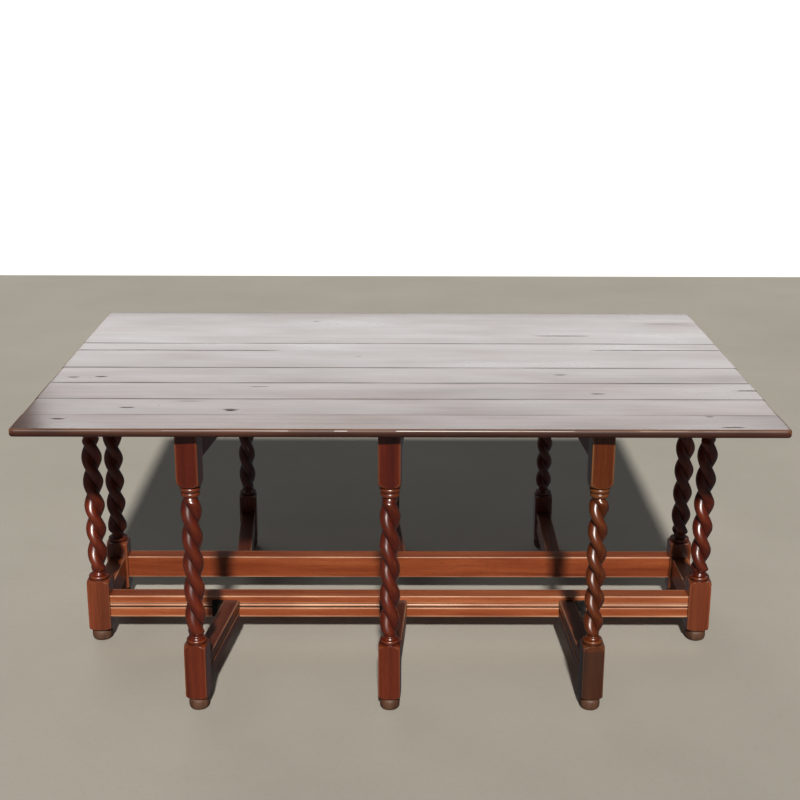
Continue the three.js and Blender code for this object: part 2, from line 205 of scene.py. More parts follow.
def wood(name, along, dark, middle, light, worn_and_lit, roughness, coat, bump, coat_roughness=0.17):
    """Polished old wood whose grain runs along one axis. Worn arrises go lighter and duller, and their
    lighter colour also stands in for the highlight along them (painted highlight). The wood is darkened
    by real dirt in joints and splits, by painted shade in the twists' creases and the mouldings' grooves,
    and in the turned grooves. Each piece's seed attribute moves it to its own part of the tree."""
    n = Nodes(name)
    seed = n.attribute("seed")
    place = n.add("TexCoord", output=3)
    shift = n.add("CombineXYZ", X=seed, Y=seed, Z=seed)
    place = n.add("VectorMath", settings={"operation": "ADD"}, i0=place, i1=shift)

    def grain(often, **noise):
        scale = tuple(often[0] if axis == along else often[1] for axis in "xyz")
        return n.stretched(place, scale, **noise)

    figure = grain(FIGURE, Detail=5.0, Roughness=0.6, Distortion=0.15)
    bands = grain(BANDS, Detail=4.0, Roughness=0.6, Distortion=0.1)
    fibre = grain(FIBRE, Detail=3.0, Roughness=0.6)
    pores = grain(PORES, Detail=1.0)
    cloud = grain(CLOUD, Detail=3.0, Roughness=0.5)

    tone = n.maths("ADD", n.maths("MULTIPLY", figure, 0.62), n.maths("MULTIPLY", bands, 0.38))
    colour = n.ramp(tone, (0.34, dark), (0.5, middle), (0.66, light))
    colour = n.blend(n.levels(fibre, 0.3, 0.7, 0.4, 0.0), colour, (*dark, 1))
    pore = n.levels(pores, 0.6, 0.72, 0.0, 0.6)
    colour = n.blend(pore, colour, tuple(PORE_SHADE * c for c in dark) + (1,))
    colour = n.blend(n.levels(cloud, 0.35, 0.7, 0.45, 0.0), colour, (*dark, 1))

    # Bleaching, which is partly painted sheen on the top.
    bleach_and_sheen = n.maths("MULTIPLY", n.attribute("bleach_and_sheen"), n.levels(figure, 0.3, 0.7, 0.35, 0.85))
    colour = n.blend(bleach_and_sheen, colour, BLEACHED_AND_SHEEN)
    wear = n.maths("MULTIPLY", n.attribute("wear"), n.levels(bands, 0.3, 0.6, 0.35, 1.0))
    # Darkening: real dirt along joints, in splits and on a soiled block, and painted shade in the twists'
    # creases and the mouldings' grooves.
    dirt_and_shade = n.maths("MULTIPLY", n.attribute("dirt_and_shade"), n.levels(cloud, 0.25, 0.6, 0.7, 1.0))
    colour = n.blend(wear, colour, (*worn_and_lit, 1))
    colour = n.blend(dirt_and_shade, colour, GRIME_AND_SHADE)

    gloss = n.levels(cloud, 0.3, 0.7, *roughness)
    gloss = n.maths("ADD", gloss, n.maths("MULTIPLY", wear, 0.2))
    gloss = n.maths("ADD", gloss, n.maths("MULTIPLY", dirt_and_shade, 0.35))
    height = n.maths("ADD", n.maths("MULTIPLY", fibre, 0.5), bands)
    height = n.maths("SUBTRACT", height, n.maths("MULTIPLY", pore, 0.5))
    normal = n.add("Bump", Height=height, Strength=bump, Distance=0.6 * MM)

    n.put(n.shader.inputs["Base Color"], colour)
    n.put(n.shader.inputs["Roughness"], gloss)
    n.put(n.shader.inputs["Normal"], normal)
    n.shader.inputs["Coat Weight"].default_value = coat
    n.shader.inputs["Coat Roughness"].default_value = coat_roughness
    return n.material


def iron(name):
    """Old hand-worked iron: dark, pitted, with rust-brown in the hollows."""
    n = Nodes(name)
    place = n.add("TexCoord", output=3)
    pits = n.stretched(place, (420, 420, 420), Detail=3.0)
    patches = n.stretched(place, (60, 60, 60), Detail=4.0)
    rust = n.levels(patches, 0.48, 0.68)
    colour = n.blend(rust, (0.045, 0.042, 0.04, 1), (0.085, 0.04, 0.022, 1))
    n.put(n.shader.inputs["Base Color"], colour)
    n.put(n.shader.inputs["Metallic"], n.levels(rust, 0.0, 1.0, 0.85, 0.2))
    n.put(n.shader.inputs["Roughness"], n.levels(patches, 0.3, 0.7, 0.42, 0.75))
    n.put(n.shader.inputs["Normal"], n.add("Bump", Height=pits, Strength=0.35, Distance=0.4 * MM))
    return n.material


# Dark, middle and light wood, and a worn arris, which is light enough to stand in for the highlight along
# the arris as well (painted highlight).
TOP_TONES = ((0.05, 0.018, 0.01), (0.135, 0.057, 0.033), (0.23, 0.115, 0.07), (0.26, 0.14, 0.085))
EDGE_TONES = ((0.024, 0.006, 0.003), (0.06, 0.015, 0.006), (0.11, 0.031, 0.012), (0.42, 0.15, 0.055))
LEG_TONES = ((0.047, 0.005, 0.0016), (0.126, 0.015, 0.0035), (0.215, 0.032, 0.007), (0.27, 0.078, 0.024))
# The stretchers' and gate rails' worn arris tone is made light to paint the highlight along their arrises.
RAIL_TONES = ((0.15, 0.028, 0.008), (0.34, 0.09, 0.028), (0.5, 0.17, 0.064), (0.75, 0.48, 0.31))
GATE_RAIL_TONES = ((0.05, 0.01, 0.004), (0.12, 0.027, 0.011), (0.2, 0.06, 0.028), (0.5, 0.26, 0.15))
PALE_TONES = ((0.05, 0.009, 0.002), (0.15, 0.031, 0.0045), (0.25, 0.068, 0.01), (0.28, 0.12, 0.04))
FOOT_TONES = ((0.031, 0.01, 0.0045), (0.085, 0.032, 0.0155), (0.135, 0.06, 0.031), (0.175, 0.09, 0.052))

# How each surface is finished. Roughness is given for its glossiest and its dullest patches.
TOP_FINISH = {"roughness": (0.26, 0.38), "coat": 0.15, "bump": 0.12}
EDGE_FINISH = {"roughness": (0.42, 0.55), "coat": 0.0, "bump": 0.3}
LEG_FINISH = {"roughness": (0.21, 0.31), "coat": 0.9, "bump": 0.15, "coat_roughness": 0.31}
PALE_FINISH = {"roughness": (0.23, 0.33), "coat": 0.6, "bump": 0.2, "coat_roughness": 0.31}
FOOT_FINISH = {"roughness": (0.45, 0.6), "coat": 0.0, "bump": 0.5}
APRON_FINISH = {"roughness": (0.3, 0.45), "coat": 0.2, "bump": 0.3}
RAIL_FINISH = {"roughness": (0.3, 0.44), "coat": 0.15, "bump": 0.3}

MATERIALS = {
    "top": wood("top_wood_satin", "x", *TOP_TONES, **TOP_FINISH),
    "top_edge": wood("top_edge_polished", "x", *EDGE_TONES, **EDGE_FINISH),
    "leg": wood("leg_wood_polished", "z", *LEG_TONES, **LEG_FINISH),
    "pale_leg": wood("leg_wood_pale", "z", *PALE_TONES, **PALE_FINISH),
    "foot": wood("foot_wood_worn", "z", *FOOT_TONES, **FOOT_FINISH),
    "apron": wood("apron_wood", "x", *LEG_TONES, **APRON_FINISH),
    "apron_end": wood("apron_wood_end", "y", *LEG_TONES, **APRON_FINISH),
    "stretcher": wood("stretcher_wood", "x", *RAIL_TONES, **RAIL_FINISH),
    "stretcher_end": wood("stretcher_wood_end", "y", *RAIL_TONES, **RAIL_FINISH),
    "gate_rail": wood("gate_rail_wood", "y", *GATE_RAIL_TONES, **RAIL_FINISH),
    "iron": iron("hinge_iron_dark"),
}


# -------------------------------- meshes

# How far wear, which also paints a highlight on the arris, reaches from an arris.
WEAR_AND_HIGHLIGHT_BAND = 3.5 * MM  # how far wear reaches from an arris
BAR_SPACING = 30 * MM  # between the sections of a bar
BAR_HALF = 20 * MM  # about half a bar's width
PLANING = 0.25 * MM  # unevenness of a hand-planed bar


def wobble(values, seed, wave):
    """Smooth, repeatable unevenness between about -1 and 1, for a hand-worked surface."""
    phases = np.random.default_rng(seed).uniform(0, 2 * np.pi, 3)
    values = np.asarray(values, float)
    total = np.zeros_like(values)
    for phase, harmonic in zip(phases, (1.0, 1.9, 3.3)):
        total += np.sin(2 * np.pi * harmonic * values / wave + phase) / harmonic
    return total / 1.8


def near(distance, width):
    """1 where the distance is nothing, falling away smoothly on both sides."""
    return np.exp(-(distance / width) ** 2)


def make_piece(name, points, faces, materials, body, replaces=(), place=None, tints=None, sharp=32,
               face_materials=None):
    """One closed mesh, placed by its matrix, riding on a body and standing for its CAD nodes."""
    mesh = bpy.data.meshes.new(name)
    mesh.from_pydata(np.asarray(points).reshape(-1, 3).tolist(), [], faces)
    for material in materials:
        mesh.materials.append(MATERIALS[material])
    if face_materials is not None:
        mesh.polygons.foreach_set("material_index", face_materials)
    mesh.polygons.foreach_set("use_smooth", [True] * len(mesh.polygons))
    mesh.set_sharp_from_angle(angle=math.radians(sharp))
    own_grain = sum(ord(letter) * (i + 3) for i, letter in enumerate(name)) % 997 / 31
    count = len(mesh.vertices)
    values = {"seed": np.full(count, own_grain)}
    values.update({key: np.zeros(count) for key in ("wear", "dirt_and_shade", "bleach_and_sheen")})
    values.update(tints or {})
    for key, value in values.items():
        attribute = mesh.attributes.new(key, "FLOAT", "POINT")
        attribute.data.foreach_set("value", np.clip(value, 0, 100).astype(np.float32).ravel())
    obj = bpy.data.objects.new(name, mesh)
    bpy.context.scene.collection.objects.link(obj)
    if place is not None:
        obj.matrix_world = place
    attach(obj, body)
    if replaces:
        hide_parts(*replaces)
    return obj


def loft_faces(rings, columns):
    """Quads between rings of points that all have the same number of columns, and a cap at each end."""
    faces = []
    for ring in range(rings - 1):
        low, high = ring * columns, (ring + 1) * columns
        for column in range(columns):
            follow = (column + 1) % columns
            faces.append((low + column, low + follow, high + follow, high + column))
    last = (rings - 1) * columns
    faces.append(tuple(range(columns - 1, -1, -1)))
    faces.append(tuple(range(last, last + columns)))
    return faces


def rounded(corners, steps=4):
    """A closed outline with its corners rounded. A corner is (x, y, radius), or (x, y, radius, darkening),
    the darkening being painted shade in a moulding's groove and quirks. Returns the points, how worn
    each one is, the wear also being a painted highlight on the arris, and how darkened each one is."""
    points, wear, dirt_and_shade = [], [], []
    count = len(corners)
    for i, corner in enumerate(corners):
        here = np.array(corner[:2])
        before = np.array(corners[i - 1][:2]) - here
        after = np.array(corners[(i + 1) % count][:2]) - here
        radius = corner[2]
        soil_and_shade = corner[3] if len(corner) > 3 else 0.0
        if radius <= 0:
            points.append(here)
            wear.append(0.0)
            dirt_and_shade.append(soil_and_shade)
            continue
        a = before / np.linalg.norm(before)
        b = after / np.linalg.norm(after)
        reach = min(radius, 0.45 * np.linalg.norm(before), 0.45 * np.linalg.norm(after))
        curve = [(here + a * reach * (1 - t) ** 2 + b * reach * t ** 2, 1 - 0.6 * (2 * t - 1) ** 2)
                 for t in np.linspace(0, 1, steps + 1)]
        room = 2.2 * (reach + WEAR_AND_HIGHLIGHT_BAND)
        if np.linalg.norm(before) > room:
            curve.insert(0, (here + a * (reach + WEAR_AND_HIGHLIGHT_BAND), 0.0))
        if np.linalg.norm(after) > room:
            curve.append((here + b * (reach + WEAR_AND_HIGHLIGHT_BAND), 0.0))
        for point, worn_and_lit in curve:
            points.append(point)
            wear.append(worn_and_lit)
            dirt_and_shade.append(soil_and_shade)
    return np.array(points), np.array(wear), np.array(dirt_and_shade)


def bar_matrix(outward, origin):
    """A frame whose x points outward, whose y points up and whose origin is under the bar's centre."""
    x = Vector(outward).normalized()
    z = x.cross(UP)
    turn = Matrix((x, UP, z)).transposed().to_4x4()
    return Matrix.Translation(origin) @ turn


def add_bar(name, corners, length, bar_frame, material, body, place=None):
    """A bar of one rounded section, swept along its own length, slightly uneven like hand-planed wood.
    In bar_frame the section's x points outward, its y points up, and the bar is centred on z. Its
    points are kept in place's axes, so that the grain runs along them."""
    outline, wear, dirt_and_shade = rounded(corners)
    stations = np.linspace(-length / 2, length / 2, max(4, round(length / BAR_SPACING)))
    seed = sum(map(ord, name))
    centre = outline.mean(0)
    rings = []
    for station in stations:
        swell = 1 + PLANING / BAR_HALF * wobble(station, seed, 0.4) * 0.5
        sink = abs(0.5 * PLANING * wobble(station, seed + 1, 0.7))
        section = centre + (outline - centre) * (min(swell, 1.0), 1.0)
        rings.append(np.column_stack([section[:, 0], section[:, 1] - sink, np.full(len(outline), station)]))
    turn = np.array(bar_frame)
    points = np.array(rings) @ turn[:3, :3].T + turn[:3, 3]
    # Patchy wear along the bar; the lighter arris also stands in for a highlight (painted highlight).
    patchy = 0.7 + 0.3 * wobble(stations, seed + 2, 0.33)[:, None]
    tints = {"wear": wear * patchy, "dirt_and_shade": dirt_and_shade[None, :] * np.ones((len(stations), 1))}
    faces = loft_faces(len(stations), len(outline))
    make_piece(name, points, faces, [material], body, [name], place, tints)


# -------------------------------- legs

LEG_COLUMNS = 64
LEG_STEP = 2 * math.pi / LEG_COLUMNS
TWIST_RING = 2.6 * MM  # between the rings of a twist

# The turned parts of a leg whose blocks are 60 mm square, in millimetres. A bead is (low, high, radius at
# its ends, greatest radius), and a groove is (low, high, radius at the low end, radius at the high end,
# how much darker it is drawn). The upper ones are measured from the top of the twist.
FOOT_BALL = (0, 29, 19, 27.6)
FOOT_GROOVE = (29.4, 32.6, 20, 20.5, 1.0)
LOWER_GROOVE = (178.6, 180.2, 24.6, 24.6, 0.6)
LOWER_BEAD = (180.8, 188.6, 24.6, 27.4)
UPPER_BEADS = (
    ((0.4, 10.5, 22.5, 25.6), (11, 12.4, 22.2, 22.2, 0.8)),
    ((13, 24, 23.4, 27.6), (24.6, 25.6, 22.6, 22.6, 0.7)),
)
FOOT_TOP = 30 * MM  # below it, the leg has the foot's material
LOWER_BLOCK = (44 * MM, 163 * MM)  # between its rounded ends
LOWER_BLOCK_FOOT = (33 * MM, 42 * MM)
LOWER_BLOCK_HEAD = (164 * MM, 178 * MM)
COVE = (189 * MM, 195.6 * MM)  # the hollow between bead and twist
COVE_RADIUS = 25.4 * MM
UPPER_BLOCK_FOOT = (26 * MM, 47 * MM)
UPPER_BLOCK_LOW = 51 * MM

# Of a block's half width: the radius that its arrises are rounded to, where their wear starts, and over
# what distance it grows.
ARRIS, WORN_FROM, WORN_OVER = 1.375, 1.28, 0.12


def bulge(low, high, inner, outer, power=2.0, steps=10):
    """Heights and radii of a turned bead or ball."""
    u = -np.cos(np.linspace(0, np.pi, steps + 1))
    z = low + (high - low) * (u + 1) / 2
    swell = [max(0.0, 1 - abs(u_) ** power) ** (1 / power) for u_ in u]
    return [(z_, inner + (outer - inner) * swell_) for z_, swell_ in zip(z, swell)]


def shoulder(low, high, small, large, steps=10):
    """Heights and radii of the rounded end of a square block, cut on the lathe."""
    t = np.linspace(0, 1, steps + 1)
    return [(low + (high - low) * t_, small + (large - small) * math.sqrt(1 - (1 - t_) ** 2)) for t_ in t]


def strand_radius(radius, offset, angle):
    """Outline of two round strands that lie side by side."""
    return offset * np.abs(np.cos(angle)) + np.sqrt(radius ** 2 - (offset * np.sin(angle)) ** 2)


class LegRings:
    """The rings of a leg from foot to top: points, wear (also a painted highlight on arrises) and darkening
    (real dirt on the lower block, painted shade in the twist's creases, and darker grooves), as lists of
    ring by column.
    """

    def __init__(self, half):
        self.half = half
        self.scale = half / CORNER_HALF
        self.arris = half * ARRIS
        self.start = 0.0  # the angle of the first column
        self.base = LEG_STEP * np.arange(LEG_COLUMNS)
        self.points, self.wear, self.dirt_and_shade = [], [], []

    def ring(self, z, angles, radii, worn_and_lit, soil_and_shade):
        x, y = radii * np.cos(angles), radii * np.sin(angles)
        self.points.append(np.column_stack([x, y, np.full(LEG_COLUMNS, z)]))
        self.wear.append(np.broadcast_to(worn_and_lit, LEG_COLUMNS))
        self.dirt_and_shade.append(np.broadcast_to(soil_and_shade, LEG_COLUMNS))

    def turned(self, rows, worn_and_lit=0.0, soil_and_shade=0.0):
        for z, radius in rows:
            self.ring(z, self.start + self.base, np.full(LEG_COLUMNS, radius * self.scale), worn_and_lit, soil_and_shade)

    def bead(self, low, high, inner, outer, above=0.0, worn_and_lit=0.3, **form):
        self.turned(bulge(above + low * MM, above + high * MM, inner * MM, outer * MM, **form), worn_and_lit)

    def groove(self, low, high, low_radius, high_radius, soil_and_shade, above=0.0):
        self.turned([(above + low * MM, low_radius * MM), (above + high * MM, high_radius * MM)], soil_and_shade=soil_and_shade)

    def squared(self, rows, soil_and_shade=0.0, rubbed=0.0):
        half, angles = self.half, self.start + self.base
        square = half / np.maximum(np.abs(np.cos(angles)), np.abs(np.sin(angles)))
        for z, radius in rows:
            edge = np.clip((square - half * WORN_FROM) / (WORN_OVER * half), 0, 1)
            turned_line = near(square - radius, 1.2 * MM)
            worn_and_lit = np.maximum(np.maximum(edge * 0.8, turned_line * 0.7), rubbed)
            self.ring(z, angles, np.minimum(square, radius), worn_and_lit, soil_and_shade)

    def lower_end(self, strand, rubbed, soiled):
        """The bun foot, the lower block, and the bead and cove under the twist."""
        half, arris = self.half, self.arris
        self.bead(*FOOT_BALL, worn_and_lit=0.4, power=2.5, steps=18)
        self.groove(*FOOT_GROOVE)
        self.squared(shoulder(*LOWER_BLOCK_FOOT, half * 0.9, arris), soiled, rubbed)
        self.squared([(z, arris) for z in np.linspace(*LOWER_BLOCK, 12)], soiled, rubbed)
        head = reversed(shoulder(*LOWER_BLOCK_HEAD, half * 0.95, arris))
        self.squared([(sum(LOWER_BLOCK_HEAD) - z, radius) for z, radius in head], soiled * 0.5, rubbed)
        self.groove(*LOWER_GROOVE)
        self.bead(*LOWER_BEAD)
        neck = strand / self.scale + 1 * MM
        for z, t in zip(np.linspace(*COVE, 8), np.linspace(0, 1, 8)):
            swell = 1 - math.sqrt(1 - (1 - t) ** 2)
            self.turned([(z, neck + (COVE_RADIUS - neck) * swell)])

    def twist(self, strand, offset, lobe, pitch, top):
        """Two left-handed strands. The columns turn with them, and each end is turned to a round."""
        first, last = TWIST_BOTTOM + 1 * MM, top - 1 * MM
        turn = -2 * math.pi / pitch
        first_lean = turn * (first - lobe)
        start = first_lean + LEG_STEP * round((self.start - first_lean) / LEG_STEP)
        for z in np.linspace(first, last, round((last - first) / TWIST_RING)):
            lean = turn * (z - lobe)
            angles = start + lean - first_lean + self.base
            fade = min(1.0, (z - TWIST_BOTTOM) / TWIST_FADE, (top - z) / TWIST_FADE)
            fade = fade * fade * (3 - 2 * fade)
            radii = strand_radius(strand, offset * fade, angles - lean)
            radii = radii * (1 + 0.006 * wobble(z, 5, 0.09))
            # Painted shade: the wood is darkened along the crease between the two strands.
            crease_shade = near(np.cos(angles - lean), 0.2) * fade
            ridge = near(np.sin(angles - lean), 0.45)
            self.ring(z, angles, radii, ridge * 0.12, crease_shade * 0.5)
        self.start = LEG_STEP * round((start + turn * (last - first)) / LEG_STEP)

    def upper_end(self, twist_top, top):
        """The two beads over the twist and the upper block."""
        for bead, groove in UPPER_BEADS:
            self.bead(*bead, above=twist_top, steps=8)
            self.groove(*groove, above=twist_top)
        foot_low, foot_high = (twist_top + z for z in UPPER_BLOCK_FOOT)
        self.squared(shoulder(foot_low, foot_high, self.half * 0.82, self.arris))
        self.squared([(z, self.arris) for z in np.linspace(twist_top + UPPER_BLOCK_LOW, top - 1.5 * MM, 9)])
        self.squared([(top, self.arris - 1 * MM)])


def add_leg(node, body, place, half, strands, twist_top, material, rubbed, soiled=0.0):
    """A leg. Rubbed and soiled say how worn and how dirty the faces of its lower block are."""
    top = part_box(node)[1].z
    leg = LegRings(half)
    leg.lower_end(strands[0], rubbed, soiled)
    leg.twist(*strands, *TWISTS[node], twist_top)
    leg.upper_end(twist_top, top)
    points = np.array(leg.points)
    faces = loft_faces(len(points), LEG_COLUMNS)
    heights = points[:, 0, 2]
    ring_of_face = np.minimum(np.arange(len(faces)) // LEG_COLUMNS, len(points) - 1)
    in_foot = (heights[ring_of_face] < FOOT_TOP).astype(int)
    in_foot[-2:] = (1, 0)  # the caps at the foot and at the top
    uneven = 0.12 * MM * wobble(points[..., 2] + points[..., 0], 7, 0.05)
    points = points + uneven[..., None] * (1, 1, 0)
    tints = {"wear": np.array(leg.wear), "dirt_and_shade": np.array(leg.dirt_and_shade)}
    make_piece(node, points, faces, [material, "foot"], body, [node], place, tints,
               face_materials=in_foot.tolist())


def foot_of(node):
    """The point on the floor under the middle of a leg."""
    low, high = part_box(node)
    return Vector(((low.x + high.x) / 2, (low.y + high.y) / 2, 0))


def add_legs():
    for side, end in CORNERS:
        node = f"corner_leg_{side}_{end}"
        place = Matrix.Translation(foot_of(node))
        add_leg(node, "root", place, CORNER_HALF, CORNER_STRANDS, CORNER_TWIST_TOP, "leg", rubbed=0.42)
    for side, position in GATES:
        node = f"gate_leg_{side}_{position}"
        body, gate, _ = gate_of(side, position)
        place = gate @ Matrix.Translation(gate.inverted() @ foot_of(node))
        odd_one = (side, position) == ("front", "right")  # paler than the others, with a darkened block
        material, soiled = ("pale_leg", 0.68) if odd_one else ("leg", 0.0)
        strands = GATE_STRANDS[position]
        add_leg(node, body, place, GATE_HALF, strands, GATE_TWIST_TOP, material, 0.12, soiled)


# -------------------------------- rails, stretchers and aprons

GATE_RAIL_WIDTH = 42 * MM
GATE_REACH = 353 * MM  # from a gate's hinge axis to the middle of its leg
GATE_RAIL_ENDS = (-4.5 * MM, GATE_REACH - GATE_HALF - GAP)
HINGE_OFFSET = 5 * MM  # from a gate's hinge axis to the faces that its plates lie on

# A stretcher's moulded face from its lower band up: how far each point lies behind the face, in
# millimetres, its part of the height, its rounding in millimetres, and how much it is darkened: painted
# shade in the groove and the quirks.
MOULDING = (
    (0.8, 0.435, 1.0, 0.0),
    (2.6, 0.45, 0.4, 0.3),
    (5.4, 0.46, 0.0, 1.0),
    (5.4, 0.49, 0.0, 1.0),
    (3.0, 0.51, 0.9, 0.0),
    (2.2, 0.56, 1.2, 0.0),
    (3.2, 0.60, 0.9, 0.0),
    (4.6, 0.615, 0.0, 0.6),
    (4.2, 0.635, 0.0, 0.5),
    (0.0, 0.665, 1.0, 0.0),
)


def plain_section(width, height):
    half = width / 2
    r = 1.6 * MM
    return [(-half, 0, r), (half, 0, r), (half, height, r), (-half, height, r)]


def moulded_section(width, height):
    """A stretcher's section: a lower band, a groove, a small ovolo, a quirk and an upper band."""
    face = width / 2
    moulding = [(face - depth * MM, height * part, r * MM, dirt_and_shade) for depth, part, r, dirt_and_shade in MOULDING]
    return [
        (-face, 0, 1.5 * MM),
        (face - 3 * MM, 0, 1 * MM),
        (face - 0.8 * MM, 3.5 * MM, 1.2 * MM),
        *moulding,
        (face, height, 1.8 * MM),
        (-face, height, 1.8 * MM),
    ]


# Each kind of bar: its section, its material lengthwise along X and along Y, and its slot.
BARS = {
    "apron": (plain_section, "apron", "apron_end", "leg_wood"),
    "stretcher": (moulded_section, "stretcher", "stretcher_end", "stretcher_wood"),
}
GATE_RAILS = {
    "upper": (plain_section, "apron_end", "leg_wood"),
    "lower": (moulded_section, "gate_rail", "stretcher_wood"),
}


def add_frame_bars():
    for side, sign in SIDES.items():
        for kind, (section, material, _, slot) in BARS.items():
            node = f"long_{kind}_{side}"
            low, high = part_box(node)
            corners = section(high.y - low.y, high.z - low.z)
            bar_frame = bar_matrix((0, sign, 0), (0, (low.y + high.y) / 2, low.z))
            add_bar(node, corners, high.x - low.x, bar_frame, material, "root")
    for end, sign in ENDS.items():
        for kind, (section, _, material, slot) in BARS.items():
            node = f"end_{kind}_{end}"
            low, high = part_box(node)
            corners = section(high.x - low.x, high.z - low.z)
            bar_frame = bar_matrix((sign, 0, 0), ((low.x + high.x) / 2, 0, low.z))
            add_bar(node, corners, high.y - low.y, bar_frame, material, "root")


def add_gate_rails():
    inner, outer = GATE_RAIL_ENDS
    for side, position in GATES:
        body, gate, fold = gate_of(side, position)
        for kind, (section, material, slot) in GATE_RAILS.items():
            node = f"gate_{kind}_rail_{side}_{position}"
            low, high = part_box(node)
            corners = section(GATE_RAIL_WIDTH, high.z - low.z)
            beside = -fold * (HINGE_OFFSET + GATE_RAIL_WIDTH / 2)
            bar_frame = bar_matrix((-fold, 0, 0), (beside, SIDES[side] * (inner + outer) / 2, low.z))
            add_bar(node, corners, outer - inner, bar_frame, material, body, gate)


# -------------------------------- top boards

# The arrises of a board: how far the rounding drops and how far it reaches, and for a joint how dirty
# it is and how far the dirt spreads.
EDGE = {"drop": 8 * MM, "reach": 6 * MM}  # nosing of the outer edges
GLUED = {"drop": 0.3 * MM, "reach": 0.7 * MM, "dirt_and_shade": 0.42, "spread": 1.4 * MM}
HINGED = {"drop": 0.9 * MM, "reach": 1.2 * MM, "dirt_and_shade": 0.62, "spread": 2.2 * MM}  # at a leaf's joint
CORNER_RADIUS = 13 * MM  # of the top, seen from above
DEEPEST = 9.4 * MM  # the most that a surface falls, so that top and underside don't meet
EDGE_BELOW = 3.2 * MM  # faces further than this below the top are part of its edge
COLUMN_SPACING = 6.5 * MM
UNDER_SPACING = 24 * MM
CUPPING = 0.22 * MM  # how far a board's edges fall; every second board has less of it
END_STATIONS = np.array([0, 0.25, 0.9, 1.9, 3.3, 4.8, 6.0, 8.0, 10.5, 13.0, 17.0]) * MM
INNER_STATIONS = 236
INNER_END = 24 * MM  # from the ends to the evenly spaced stations

# Each board from the front of the table to its back: its body, how short its ends fall and how low it
# lies, in millimetres, and how bleached it is. The bleaching is also painted sheen: it grows towards the
# back, where the polished top reflects the most light. The ends and the faces don't quite line up.
BOARDS = {
    "front_leaf_board_outer": ("front_leaf", 0.0, 0.05, 0.1),
    "front_leaf_board_middle": ("front_leaf", 1.4, 0.3, 0.45),
    "front_leaf_board_inner": ("front_leaf", 0.6, 0.1, 0.45),
    "centre_board_front": ("root", 1.8, 0.35, 0.8),
    "centre_board_back": ("root", 0.4, 0.0, 1.0),
    "back_leaf_board": ("back_leaf", 0.0, 0.2, 1.0),
}

# Splits and knots in each board: (y, first x, last x, half width, depth), in millimetres. One that
# begins or ends at OPEN runs out through the board's end.
OPEN = 900
MARKS = {
    "front_leaf_board_outer": [
        (-513, -820, -786, 2.0, 2.5),
        (-571, 740, 796, 1.2, 2),
        (-487, 722, 738, 3.0, 2.5),
    ],
    "front_leaf_board_middle": [
        (-439, -424, -388, 4.5, 3),
        (-419, -676, -640, 1.6, 2),
        (-366, -560, -470, 0.8, 1),
    ],
    "front_leaf_board_inner": [
        (-297, 474, 512, 1.6, 2),
        (-268, 838, OPEN, 1.5, 4),
        (-240, -380, -330, 0.7, 1),
    ],
    "centre_board_front": [
        (-152, -862, -830, 2.2, 2.5),
        (-147, -792, -758, 2.0, 2.5),
        (-123, 400, 436, 1.3, 1.5),
    ],
    "centre_board_back": [
        (123, -OPEN, -330, 1.0, 5),
        (131, 528, OPEN, 1.0, 5),
        (60, -120, -104, 2.0, 1.5),
    ],
    "back_leaf_board": [
        (295, 380, 560, 1.6, 3),
        (447, 720, 880, 0.9, 2),
        (470, -262, -240, 2.5, 1.5),
    ],
}


def rounding(distance, edge):
    """How far a rounded arris lies below the flat surface, at a distance from the edge."""
    t = np.clip(1 - distance / edge["reach"], 0, 1)
    return edge["drop"] * (1 - np.sqrt(1 - t ** 2))


def edge_offsets(edge):
    return edge["reach"] * np.array([0, 0.04, 0.15, 0.32, 0.55, 0.8, 1.0])


def edge_kind(y):
    """Which arris a board has where its edge lies at this y."""
    if min(y - cad_low.y, cad_high.y - y) < 1 * MM:
        return EDGE
    to_leaf_joint = min(abs(abs(y) - abs(JOINTS[leaf]["pos_m"][1])) for leaf in ("front_leaf", "back_leaf"))
    return HINGED if to_leaf_joint < 3 * MM else GLUED


def corner_inset(end):
    """How far the top's rounded corner lies in from its long edge, at a distance from its end."""
    into_corner = max(0.0, CORNER_RADIUS - end)
    return max(0.0, CORNER_RADIUS - math.sqrt(max(0.0, CORNER_RADIUS ** 2 - into_corner ** 2)))


def edge_drop(edges):
    """How far two rounded arrises make a surface fall, from pairs of edge and distance."""
    return np.maximum(*(rounding(distance, edge) for edge, distance in edges))


